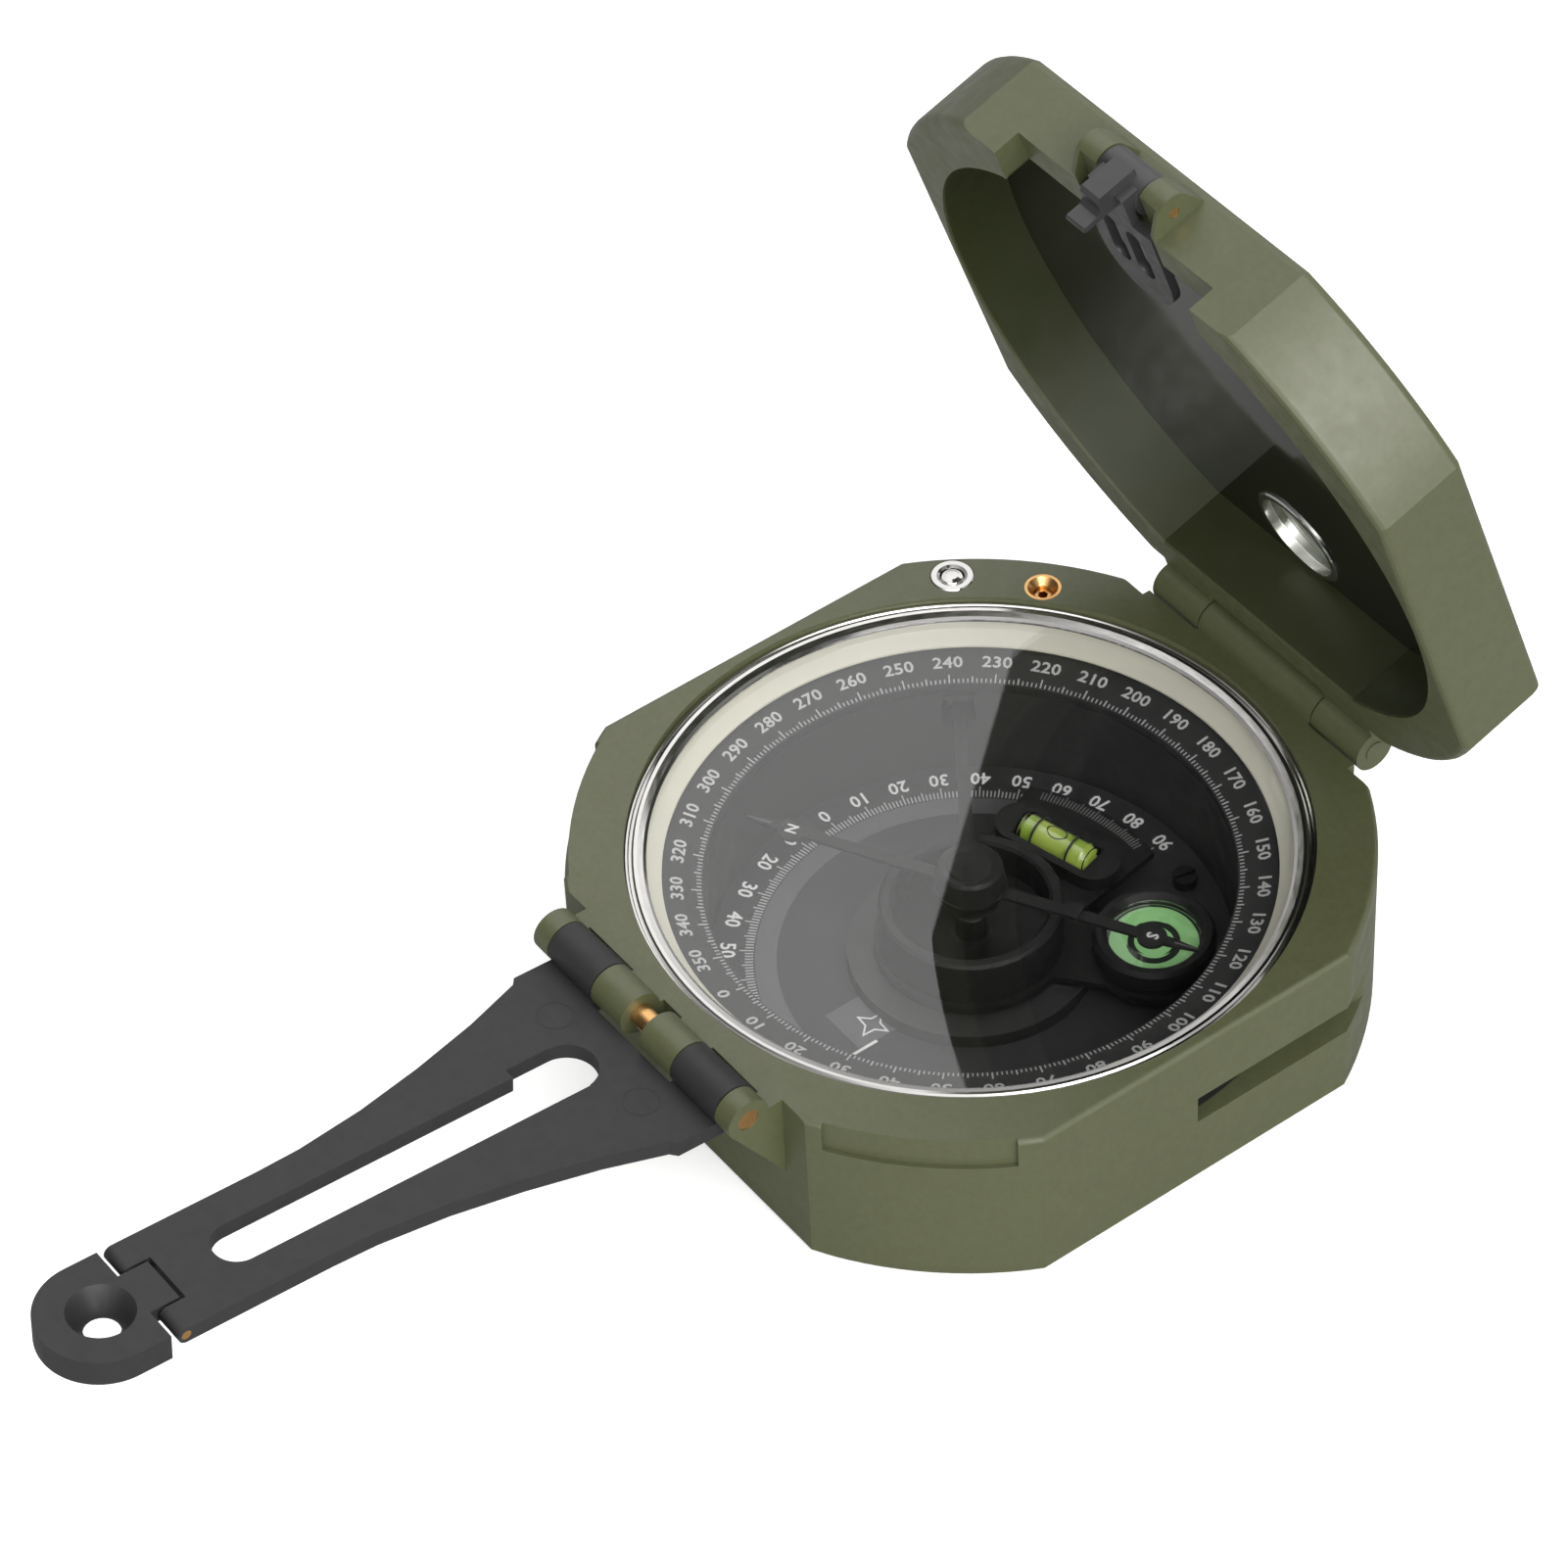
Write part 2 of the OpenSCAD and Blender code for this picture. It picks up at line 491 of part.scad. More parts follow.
/* ---------- lid ---------- */
module sight_lug(x1, x2) {
  translate([0, sight_y, sight_z]) xrod(sight_r, x1, x2);
  yz_slab(x1, x2, [[-hy + 0.5, sight_z - 3.2], [-hy, sight_z - 3.2],
    [sight_y - 0.8, sight_z - sight_r + 0.15], [sight_y - 0.8, sight_z + sight_r - 0.15],
    [-hy, sight_z + 3.2], [-hy + 0.5, sight_z + 3.2]]);
}
module lid_shell() color([0.42, 0.44, 0.34]) on_lid() difference() {
  union() {
    translate([0, 0, rim_z]) linear_extrude(lid_h) outline(hx, hy, rr);
    both() {
      at_lid_hinge() xrod(knuckle_r, lid_out[0], lid_out[1]);
      yz_slab(lid_out[0], lid_out[1], [[hy - 1, rim_z], [lid_axis_y, rim_z],
        [lid_axis_y + 1, lid_axis_z + knuckle_r - 0.2], [hy, 25.5], [hy - 1, 25.5]]);
      sight_lug(sight_lug[0], sight_lug[1]);
    }
  }
  // hollow, with a shallow step behind its edge
  translate([0, 0, rim_z - 1]) linear_extrude(mirror_depth + mirror_t + 1)
    outline(40, lid_cav, lid_cav_r);
  // notch for the sight arm, and a deeper one for the small sight
  translate([-notch_half, -hy - 2, rim_z - 1]) cube([2 * notch_half, 8, notch_top - rim_z + 1]);
  translate([-5.5, -hy - 6, rim_z - 1]) cube([11, 12, 24.0 - rim_z + 1]);
  // sighting window
  translate([0, window_y, rim_z]) cylinder(r = window_r, h = 30, $fn = 64);
  at_lid_hinge() xrod(lid_pin_r, -20, 20);
  translate([0, sight_y, sight_z]) xrod(sight_pin_r, -20, 20, 32);
  // room for the small sight's barrel
  translate([0, sight_y, sight_z]) xrod(sight_r + 0.35, -sight_lug[0], sight_lug[0]);
}
module mirror_plate() color([0.5, 0.52, 0.52]) on_lid() difference() {
  translate([0, 0, mirror_z]) linear_extrude(mirror_t)
    outline(40, lid_cav - 0.1, lid_cav_r - 0.1);
  translate([0, window_y, mirror_z - 1]) cylinder(r = window_r, h = 3, $fn = 64);
}
module window_ring() color([0.8, 0.8, 0.8]) on_lid() translate([0, window_y, mirror_z])
  rotate_extrude($fn = 64) polygon([[window_r - 0.3, -0.3], [window_r + 0.3, -0.3],
    [window_r + 0.5, -0.15], [window_r + 0.5, 0], [window_r, 0],
    [window_r, mirror_t], [window_r - 0.3, mirror_t]]);
module window_glass() color([0.8, 0.85, 0.85, 0.3]) on_lid()
  translate([0, window_y, mirror_z + mirror_t]) cylinder(r = window_r - 0.02, h = 0.8, $fn = 64);
module lid_hinge_pin() color([0.5, 0.52, 0.44])
  at_lid_hinge() xrod(lid_pin_r, -lid_out[1] - 0.15, lid_out[1] + 0.15);

/* ---------- small folding sight on the lid ---------- */
module lid_sight() color([0.24, 0.24, 0.25]) on_lid() difference() {
  union() {
    translate([0, sight_y, sight_z]) xrod(2.0, -sight_bar, sight_bar);
    // neck from the barrel down to the leaf
    translate([-2.5, sight_y - 1.75, leaf_z]) cube([5, 1.9, sight_z - leaf_z]);
    translate([-2.5, sight_y - 1.75, leaf_z]) cube([5, 4.2, 0.9]);
    // finger that hooks behind the arm's hinge pin when the lid is shut
    yz_slab(-1.3, 1.3, [[-39.4, 25.4], [-39.4, 21.1], [-38.9, 20.7], [-37.9, 20.7],
      [-37.5, 20.2], [-37.5, 18.6], [-37.3, 18.4], [-37.0, 18.4], [-36.85, 18.6],
      [-36.85, 25.4]]);
    // leaf with a round end and two windows beside a narrow bar
    translate([0, 0, leaf_z]) linear_extrude(0.9) difference() {
      union() {
        translate([-5.2, -34.6]) square([10.4, leaf_y + 34.6]);
        translate([0, leaf_y]) circle(r = 5.2, $fn = 64);
      }
      translate([-6, -44.6]) square([12, 10]);
      both() {
        translate([0.5, -31.6]) square([2.5, 4.2]);
        translate([1.75, -31.6]) circle(r = 1.25, $fn = 32);
        translate([1.75, -27.4]) circle(r = 1.25, $fn = 32);
      }
    }
  }
  translate([0, sight_y, sight_z]) xrod(sight_pin_r + run, -20, 20, 32);
}
module lid_sight_pin() color([0.72, 0.55, 0.32]) on_lid()
  translate([0, sight_y, sight_z]) xrod(sight_pin_r, -sight_lug[1] + 0.1, sight_lug[1] - 0.1, 32);

case_body();
scale_plate();
azimuth_index();
azimuth_ring();
adjuster_bush();
adjuster_pinion();
ivory_ring();
glass_gasket();
crystal();
bezel_ring();
arm_hinge_pin();
lift_bush();
lift_pin();
lift_spring();
lift_lever();
lever_pin();
lever_screw();
clino_shaft();
clino_lever();
clino_washer();
vernier_plate();
damping_cup();
tube_bracket();
tube_vial();
tube_liquid();
tube_bubble();
bull_housing();
bull_disc();
bull_liquid();
bull_lens();
pivot_post();
needle_blade();
needle_hub();
needle_weight();
sight_arm();
peep_pin();
peep_sight();
lid_shell();
mirror_plate();
window_ring();
window_glass();
lid_hinge_pin();
lid_sight();
lid_sight_pin();
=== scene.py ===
# Sighting compass: materials, rounded edges, printed marks, light and camera around the
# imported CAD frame. Numbers are in mm and degrees unless a comment says otherwise, and MM
# turns them into Blender's metres. +Z is up and +Y points to the lid hinge.
import math

import bpy
import bmesh
from mathutils import Matrix, Vector


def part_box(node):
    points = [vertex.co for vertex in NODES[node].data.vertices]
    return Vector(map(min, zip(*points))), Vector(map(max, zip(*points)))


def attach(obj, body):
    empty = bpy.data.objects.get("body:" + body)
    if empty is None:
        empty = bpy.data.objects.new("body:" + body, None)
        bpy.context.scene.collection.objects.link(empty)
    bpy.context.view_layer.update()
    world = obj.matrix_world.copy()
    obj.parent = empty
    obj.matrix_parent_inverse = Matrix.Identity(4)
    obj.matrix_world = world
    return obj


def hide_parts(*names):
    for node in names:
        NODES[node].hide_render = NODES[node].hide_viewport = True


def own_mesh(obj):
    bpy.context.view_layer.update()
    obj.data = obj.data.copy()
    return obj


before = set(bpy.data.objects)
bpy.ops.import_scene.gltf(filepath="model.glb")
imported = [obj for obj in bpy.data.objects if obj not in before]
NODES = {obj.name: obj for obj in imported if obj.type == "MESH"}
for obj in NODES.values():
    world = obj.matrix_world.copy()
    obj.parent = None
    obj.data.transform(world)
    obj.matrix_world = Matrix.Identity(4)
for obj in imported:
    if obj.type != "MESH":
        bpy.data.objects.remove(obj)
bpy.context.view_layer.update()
MM = 0.001

# how the parts stand at rest
LID_OPEN = math.radians(71.5)        # the lid's angle above the case
ARM_RISE = math.radians(4.5)         # the sight arm's rise above level
RING_TURN = -3.5                     # the azimuth ring's turn
NEEDLE_DIR = 209.0                   # direction of the needle's north end
TUBE_DIR = 104.5                     # direction of the tube level
ROUND_DIR = 43.0                     # direction of the round level

# places on the CAD parts that the masks, bevels and marks follow
OUTLINE_R, OUTLINE_Y = 40.2, 35.1    # the outline's rounds and its flats
CASE_LEVELS = (0.0, 19.2)            # the case's lower and upper edges
LID_LEVELS = (19.6, 29.65)           # the shut lid's lower and upper edges
LID_AXIS = (38.7, 19.3)              # y and z of the lid's hinge
ARM_AXIS = (-39.06, 19.1)            # y and z of the sight arm's hinge
ARM_DROP = 1.3                       # from that hinge's axis down to the arm's face
WELL_R, WELL_LEVELS = 34.0, (1.1, 17.4)   # inside these the case's paint is turned black and rougher: painted shade
HOLLOW_R, HOLLOW_Y = 34.45, 31.2     # inside these the shut lid's paint is made darker: painted shade
HOLLOW_LEVELS = (19.9, 28.9)         # and between these
PLATE_TOP = 1.9                      # the scale plate's upper face
RING_R, RING_Z = 26.55, 13.8         # inner edge of the azimuth ring's cone
RING_RUN, RING_RISE = 4.05, 0.95     # how far out and up the cone goes from there
NEEDLE_MARK_Z = 12.455               # height of the marks on the needle
TUBE_R, TUBE_Z = 14.3, 6.0           # middle of the tube level
ROUND_R, ROUND_MARK_Z = 18.4, 6.205  # middle of the round level, and its line's height
INK = 0.03                           # thickness of printed figures and lines


# ---------------------------------------------------------------- camera
CAMERA_LENS = 143.7
CAMERA_AT = (0.34176, -0.25764, 0.46465)      # metres
CAMERA_AXES = ((0.59915, 0.79971, -0.03821),  # to its right
               (-0.55606, 0.45000, 0.69878),  # up
               (0.57602, -0.39743, 0.71432))  # backward


def matrix_of(axes, place):
    """A matrix with three axes and an origin, in metres."""
    m = Matrix(axes).transposed().to_4x4()
    m.translation = place
    return m


def make_camera():
    cam = bpy.data.cameras.new("camera")
    cam.lens = CAMERA_LENS
    cam.sensor_width = 36.0
    cam.clip_start = 0.05
    cam.clip_end = 20
    ob = bpy.data.objects.new("camera", cam)
    bpy.context.scene.collection.objects.link(ob)
    ob.matrix_world = matrix_of(CAMERA_AXES, CAMERA_AT)
    bpy.context.scene.camera = ob


# ---------------------------------------------------------------- node helpers
def math_node(nt, op, *values):
    n = nt.nodes.new("ShaderNodeMath")
    n.operation = op
    for sock, v in zip(n.inputs, values):
        if isinstance(v, (int, float)):
            sock.default_value = v
        else:
            nt.links.new(v, sock)
    return n.outputs[0]


def map_range(nt, x, from_lo, from_hi, to_lo=0.0, to_hi=1.0, kind="LINEAR"):
    n = nt.nodes.new("ShaderNodeMapRange")
    n.interpolation_type = kind
    nt.links.new(x, n.inputs["Value"])
    n.inputs["From Min"].default_value = from_lo
    n.inputs["From Max"].default_value = from_hi
    n.inputs["To Min"].default_value = to_lo
    n.inputs["To Max"].default_value = to_hi
    return n.outputs["Result"]


def facing(nt, co, direction, start, full):
    """Rises smoothly from 0 to 1 as the cosine to a direction goes from start to full."""
    n = nt.nodes.new("ShaderNodeVectorMath")
    n.operation = "DOT_PRODUCT"
    nt.links.new(co, n.inputs[0])
    n.inputs[1].default_value = Vector(direction).normalized()
    return map_range(nt, n.outputs["Value"], start, full, kind="SMOOTHSTEP")


# ---------------------------------------------------------------- stage and light
# direction, cosines where it starts and is full, strength
LIGHTS = (((-0.58, 0.30, 0.76), 0.55, 0.92, 0.85),   # ceiling panel, back left
          ((0.80, -0.05, 0.58), 0.86, 0.97, 4.2),    # softbox on the right
          ((0.80, -0.58, 0.12), 0.40, 0.97, 2.3),    # low fill from the front right
          ((0.05, 0.95, 0.30), 0.60, 0.95, 0.25),    # back wall
          ((0.0, 0.0, 1.0), 0.10, 0.95, 0.42))       # general light from above
AMBIENT = 0.24
DIM_SIDE = ((-0.62, -0.75, 0.15), 0.45, 0.95)        # the side towards the sight arm
DIM_LOSS = 0.72


def make_world():
    """A soft studio made of broad lobes of light, darker on one side."""
    world = bpy.data.worlds.new("studio")
    bpy.context.scene.world = world
    world.use_nodes = True
    nt = world.node_tree
    bg = nt.nodes["Background"]
    co = nt.nodes.new("ShaderNodeTexCoord").outputs["Generated"]
    level = AMBIENT
    for direction, start, full, strength in LIGHTS:
        lobe = facing(nt, co, direction, start, full)
        level = math_node(nt, "MULTIPLY_ADD", lobe, strength, level)
    dim = math_node(nt, "MULTIPLY_ADD", facing(nt, co, *DIM_SIDE), -DIM_LOSS, 1.0)
    nt.links.new(math_node(nt, "MULTIPLY", level, dim), bg.inputs["Strength"])
    bg.inputs["Color"].default_value = (1.0, 0.995, 0.985, 1)


FLOOR_PALE = 0.80            # the floor's own colour
FLOOR_GLOSSY_LOSS = 0.50     # darker by this where something mirrors it
FLOOR_BOUNCE_LOSS = 0.12     # darker by this as a bounce light
FLOOR_GLOW = 0.42            # added for the camera only


def make_floor():
    """A white floor, pale to the eye but weak in reflections and as a bounce light."""
    bpy.ops.mesh.primitive_plane_add(size=6, location=(0, 0, 0))
    floor = bpy.context.object
    floor.name = "floor"
    mat = bpy.data.materials.new("floor_white")
    mat.use_nodes = True
    nt = mat.node_tree
    b = nt.nodes["Principled BSDF"]
    path = nt.nodes.new("ShaderNodeLightPath").outputs
    v = math_node(nt, "MULTIPLY_ADD", path["Is Glossy Ray"], -FLOOR_GLOSSY_LOSS, FLOOR_PALE)
    v = math_node(nt, "MULTIPLY_ADD", path["Is Diffuse Ray"], -FLOOR_BOUNCE_LOSS, v)
    col = nt.nodes.new("ShaderNodeCombineColor")
    for i in range(3):
        nt.links.new(v, col.inputs[i])
    nt.links.new(col.outputs[0], b.inputs["Base Color"])
    b.inputs["Roughness"].default_value = 0.9
    b.inputs["Specular IOR Level"].default_value = 0.1
    b.inputs["Emission Color"].default_value = (1, 1, 1, 1)
    nt.links.new(math_node(nt, "MULTIPLY", path["Is Camera Ray"], FLOOR_GLOW),
                 b.inputs["Emission Strength"])
    floor.data.materials.append(mat)


make_camera()
make_world()
make_floor()
bpy.context.scene.view_settings.view_transform = "Standard"


# ---------------------------------------------------------------- materials
def new_mat(name, color, rough, metal=0.0, specular=0.5):
    m = bpy.data.materials.new(name)
    m.use_nodes = True
    nt = m.node_tree
    b = nt.nodes["Principled BSDF"]
    b.inputs["Base Color"].default_value = (*color, 1)
    b.inputs["Roughness"].default_value = rough
    b.inputs["Metallic"].default_value = metal
    b.inputs["Specular IOR Level"].default_value = specular
    return m, nt, b


def object_coordinates(nt):
    return nt.nodes.new("ShaderNodeTexCoord").outputs["Object"]


def noise(nt, scale, detail, stretch=None):
    """Noise between about 0.3 and 0.7; scale is in cycles per metre."""
    co = object_coordinates(nt)
    if stretch:
        mapping = nt.nodes.new("ShaderNodeMapping")
        mapping.inputs["Scale"].default_value = stretch
        nt.links.new(co, mapping.inputs["Vector"])
        co = mapping.outputs["Vector"]
    n = nt.nodes.new("ShaderNodeTexNoise")
    n.inputs["Scale"].default_value = scale
    n.inputs["Detail"].default_value = detail
    n.inputs["Roughness"].default_value = 0.55
    nt.links.new(co, n.inputs["Vector"])
    return n.outputs["Fac"]


def spread(nt, fac, lo, hi):
    """Stretches the usual range of noise to lo..hi."""
    return map_range(nt, fac, 0.3, 0.7, lo, hi)


def mix_color(nt, fac, a, b):
    n = nt.nodes.new("ShaderNodeMix")
    n.data_type = "RGBA"
    nt.links.new(fac, n.inputs["Factor"])
    for sock, v in ((n.inputs[6], a), (n.inputs[7], b)):
        if isinstance(v, tuple):
            sock.default_value = (*v, 1)
        else:
            nt.links.new(v, sock)
    return n.outputs[2]


def bump(nt, b, height, dist, strength):
    """Bump on shader b; dist is in metres."""
    n = nt.nodes.new("ShaderNodeBump")
    n.inputs["Strength"].default_value = strength
    n.inputs["Distance"].default_value = dist
    nt.links.new(height, n.inputs["Height"])
    nt.links.new(n.outputs["Normal"], b.inputs["Normal"])


def split(nt, vec):
    n = nt.nodes.new("ShaderNodeSeparateXYZ")
    nt.links.new(vec, n.inputs[0])
    return tuple(n.outputs)


def within(nt, x, y, z, radius, levels):
    """1 inside an upright cylinder between two levels, 0 outside it."""
    rr = math_node(nt, "ADD", math_node(nt, "MULTIPLY", x, x), math_node(nt, "MULTIPLY", y, y))
    near = math_node(nt, "LESS_THAN", rr, (radius * MM) ** 2)
    above = math_node(nt, "GREATER_THAN", z, levels[0] * MM)
    below = math_node(nt, "LESS_THAN", z, levels[1] * MM)
    return math_node(nt, "MULTIPLY", near, math_node(nt, "MULTIPLY", above, below))


def in_well(nt):
    """1 inside the case's dial well."""
    return within(nt, *split(nt, object_coordinates(nt)), WELL_R, WELL_LEVELS)


def in_hollow(nt):
    """1 inside the lid's hollow, found after turning the lid shut about its hinge."""
    hinge_y, hinge_z = LID_AXIS[0] * MM, LID_AXIS[1] * MM
    off = nt.nodes.new("ShaderNodeVectorMath")
    off.operation = "SUBTRACT"
    nt.links.new(object_coordinates(nt), off.inputs[0])
    off.inputs[1].default_value = (0, hinge_y, hinge_z)
    x, dy, dz = split(nt, off.outputs["Vector"])
    c, s = math.cos(LID_OPEN), math.sin(LID_OPEN)
    y = math_node(nt, "MULTIPLY_ADD", dy, c, math_node(nt, "MULTIPLY_ADD", dz, -s, hinge_y))
    z = math_node(nt, "MULTIPLY_ADD", dy, s, math_node(nt, "MULTIPLY_ADD", dz, c, hinge_z))
    flat = math_node(nt, "LESS_THAN", math_node(nt, "ABSOLUTE", y), HOLLOW_Y * MM)
    return math_node(nt, "MULTIPLY", flat, within(nt, x, y, z, HOLLOW_R, HOLLOW_LEVELS))


PAINT = (0.060, 0.066, 0.028)
PAINT_DRIFT = (0.069, 0.076, 0.034)
PAINT_SPECK = (0.105, 0.115, 0.058)
# painted shade colours: black for the dial well, dark olive for the lid's hollow
WELL_PAINTED_SHADE = (0.012, 0.012, 0.012)
HOLLOW_PAINTED_SHADE = (0.026, 0.031, 0.009)


def paint(name, well=False, hollow=False):
    """Satin olive enamel over cast metal: slow colour drift, fine specks, orange peel.
    The dial well's paint is turned black and the lid's hollow made darker: both are painted
    shade."""
    m, nt, b = new_mat(name, PAINT, 0.4, specular=0.62)
    col = mix_color(nt, noise(nt, 55, 2), PAINT, PAINT_DRIFT)
    col = mix_color(nt, spread(nt, noise(nt, 1400, 2), 0.0, 0.22), col, PAINT_SPECK)
    rough = spread(nt, noise(nt, 420, 3), 0.33, 0.46)
    if well:
        # painted shade: the paint turns black and rougher inside the dial well
        mask = in_well(nt)
        col = mix_color(nt, mask, col, WELL_PAINTED_SHADE)
        rough = math_node(nt, "MULTIPLY_ADD", mask, 0.12, rough)
    if hollow:
        # painted shade: the lid's paint turns darker inside its hollow
        col = mix_color(nt, in_hollow(nt), col, HOLLOW_PAINTED_SHADE)
    nt.links.new(col, b.inputs["Base Color"])
    nt.links.new(rough, b.inputs["Roughness"])
    bump(nt, b, noise(nt, 1700, 3), 0.00002, 0.55)
    return m


def satin(name, a, c, rough, grain=1500, metal=0.0, dist=0.00001, strength=0.5,
          specular=0.5):
    """An even surface with a slight drift from colour a to c and a fine grain."""
    m, nt, b = new_mat(name, a, rough, metal, specular)
    nt.links.new(mix_color(nt, noise(nt, grain * 0.2, 3), a, c), b.inputs["Base Color"])
    nt.links.new(spread(nt, noise(nt, grain * 0.5, 2), rough - 0.06, rough + 0.06),
                 b.inputs["Roughness"])
    if strength:
        bump(nt, b, noise(nt, grain, 3), dist, strength)
    return m


def turned(name, a, c, rough, stretch=(300, 300, 9000)):
    """Bright metal with faint turning marks."""
    m, nt, b = new_mat(name, a, rough, 1.0)
    marks = noise(nt, 1.0, 3, stretch)
    nt.links.new(mix_color(nt, marks, a, c), b.inputs["Base Color"])
    nt.links.new(spread(nt, marks, rough - 0.03, rough + 0.06), b.inputs["Roughness"])
    bump(nt, b, marks, 0.000004, 0.4)
    return m


def clear_glass(name, tint=(1, 1, 1), ior=1.5):
    """Glass that lets light through to what is under it without a shadow."""
    m, nt, b = new_mat(name, tint, 0.0)
    b.inputs["Transmission Weight"].default_value = 1.0
    b.inputs["IOR"].default_value = ior
    path = nt.nodes.new("ShaderNodeLightPath")
    clear = nt.nodes.new("ShaderNodeBsdfTransparent")
    mix = nt.nodes.new("ShaderNodeMixShader")
    nt.links.new(path.outputs["Is Shadow Ray"], mix.inputs[0])
    nt.links.new(b.outputs[0], mix.inputs[1])
    nt.links.new(clear.outputs[0], mix.inputs[2])
    nt.links.new(mix.outputs[0], nt.nodes["Material Output"].inputs["Surface"])
    return m


def liquid(name, a, c):
    """Coloured liquid in a level: slightly cloudy, with a glassy skin."""
    m, nt, b = new_mat(name, a, 0.12)
    b.inputs["Coat Weight"].default_value = 0.6
    b.inputs["Coat Roughness"].default_value = 0.05
    nt.links.new(mix_color(nt, spread(nt, noise(nt, 260, 2), 0.0, 1.0), a, c),
                 b.inputs["Base Color"])
    return m


MATS = {
    "case": paint("case_paint", well=True),
    "green": paint("olive_paint"),
    "lid": paint("lid_paint", hollow=True),
    "arm": satin("arm_black", (0.018, 0.018, 0.019), (0.026, 0.026, 0.028), 0.5,
                 specular=0.34),
    "sight": satin("sight_black", (0.024, 0.024, 0.025), (0.032, 0.032, 0.034), 0.36,
                   specular=0.6),
    "dial": satin("dial_black", (0.005, 0.005, 0.005), (0.008, 0.008, 0.008), 0.5, 1900,
                  specular=0.3),
    "plate": satin("plate_black", (0.017, 0.017, 0.018), (0.021, 0.021, 0.022), 0.5, 700,
                   strength=0, specular=0.4),
    "ring": satin("ring_black", (0.012, 0.012, 0.012), (0.018, 0.018, 0.018), 0.5, 1900,
                  specular=0.35),
    "gasket": satin("gasket_rubber", (0.02, 0.02, 0.02), (0.03, 0.03, 0.03), 0.7, 900),
    "ivory": satin("ivory_ring", (0.53, 0.52, 0.43), (0.57, 0.56, 0.465), 0.36, 700),
    "chrome": turned("chrome", (0.66, 0.65, 0.64), (0.58, 0.57, 0.56), 0.10,
                     (500, 500, 7000)),
    "brass": turned("brass", (0.78, 0.46, 0.19), (0.60, 0.34, 0.13), 0.26),
    "steel": turned("steel", (0.42, 0.42, 0.43), (0.34, 0.34, 0.35), 0.3),
    "white": satin("white_ink", (0.70, 0.70, 0.69), (0.60, 0.60, 0.59), 0.6, 2500),
    "faint": satin("faint_ink", (0.42, 0.42, 0.42), (0.34, 0.34, 0.34), 0.6, 2500),
    "figures": satin("figure_ink", (0.46, 0.46, 0.45), (0.40, 0.40, 0.39), 0.6, 2500),
    "dim": satin("dim_ink", (0.11, 0.11, 0.11), (0.09, 0.09, 0.09), 0.6, 2500),
    "grey": satin("grey_ink", (0.072, 0.072, 0.076), (0.080, 0.080, 0.084), 0.5, 2500),
    # painted shade: the mirror's reflectance is kept low so it looks like a mirror lying in
    # shade
    "mirror": satin("mirror_face", (0.13, 0.135, 0.125), (0.12, 0.125, 0.115), 0.07, 60,
                    metal=1.0, dist=0.000001, strength=0.1),
    "yellow": liquid("level_yellow", (0.26, 0.40, 0.045), (0.42, 0.52, 0.10)),
    "mint": satin("level_green", (0.36, 0.62, 0.29), (0.41, 0.67, 0.33), 0.3, 900),
    "mint_clear": clear_glass("level_green_clear", (0.85, 0.97, 0.86), 1.02),
    "line": satin("black_line", (0.006, 0.006, 0.006), (0.010, 0.010, 0.010), 0.5, 2000),
    "glass": clear_glass("clear_glass"),
    "window": clear_glass("window_glass", (0.62, 0.66, 0.58)),
}

# the material of each CAD node
USE = {
    "case": ["case_body"],
    "green": ["clino_lever", "lid_hinge_pin"],
    "lid": ["lid_shell"],
    "arm": ["sight_arm", "peep_sight"],
    "sight": ["lid_sight"],
    "plate": ["scale_plate"],
    "dial": ["vernier_plate", "damping_cup", "tube_bracket", "bull_housing",
             "needle_blade", "needle_hub", "needle_weight", "clino_shaft", "clino_washer",
             "pivot_post", "lift_lever", "lever_pin", "lever_screw"],
    "ring": ["azimuth_ring"],
    "gasket": ["glass_gasket"],
    "ivory": ["ivory_ring"],
    "chrome": ["bezel_ring", "window_ring", "lift_bush", "lift_pin"],
    "brass": ["adjuster_bush", "adjuster_pinion", "arm_hinge_pin", "peep_pin",
              "lid_sight_pin"],
    "steel": ["lift_spring"],
    "white": ["azimuth_index"],
    "mirror": ["mirror_plate"],
    "glass": ["crystal", "bull_lens", "tube_vial"],
    "window": ["window_glass"],
    "mint_clear": ["bull_liquid"],
    "yellow": ["tube_liquid", "tube_bubble"],
    "mint": ["bull_disc"],
}
for key, names in USE.items():
    for name in names:
        slots = NODES[name].data.materials
        slots.clear()
        slots.append(MATS[key])


# ---------------------------------------------------------------- edges of the CAD pieces
def add_bevel(o, name, width, segments, group=None):
    """Rounds the edges of a vertex group, or else all that bend by over 35 degrees."""
    b = o.modifiers.new(name, "BEVEL")
    b.width = width * MM
    b.segments = segments
    if group:
        b.limit_method = "VGROUP"
        b.vertex_group = group
    else:
        b.limit_method = "ANGLE"
        b.angle_limit = math.radians(35)


def soften(node, width, segments, picks=()):
    """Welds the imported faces, joins flat ones, rounds the edges, and keeps flat faces flat.
    Each of picks chooses the vertices of one loop of edges that gets the full width; the
    other edges then get a fine rounding."""
    o = NODES[node]
    weld = o.modifiers.new("weld", "WELD")
    weld.merge_threshold = 1e-6
    join = o.modifiers.new("flat", "DECIMATE")
    join.decimate_type = "DISSOLVE"
    join.angle_limit = math.radians(0.4)
    for k, pick in enumerate(picks):
        group = o.vertex_groups.new(name="rounded%d" % k)
        group.add([v.index for v in o.data.vertices if pick(v.co / MM)], 1.0, "REPLACE")
        add_bevel(o, "edges%d" % k, width, segments, group.name)
    if picks:
        width, segments = 0.2, 2
    add_bevel(o, "edges", width, segments)
    normals = o.modifiers.new("normals", "WEIGHTED_NORMAL")
    normals.keep_sharp = True
    normals.weight = 80


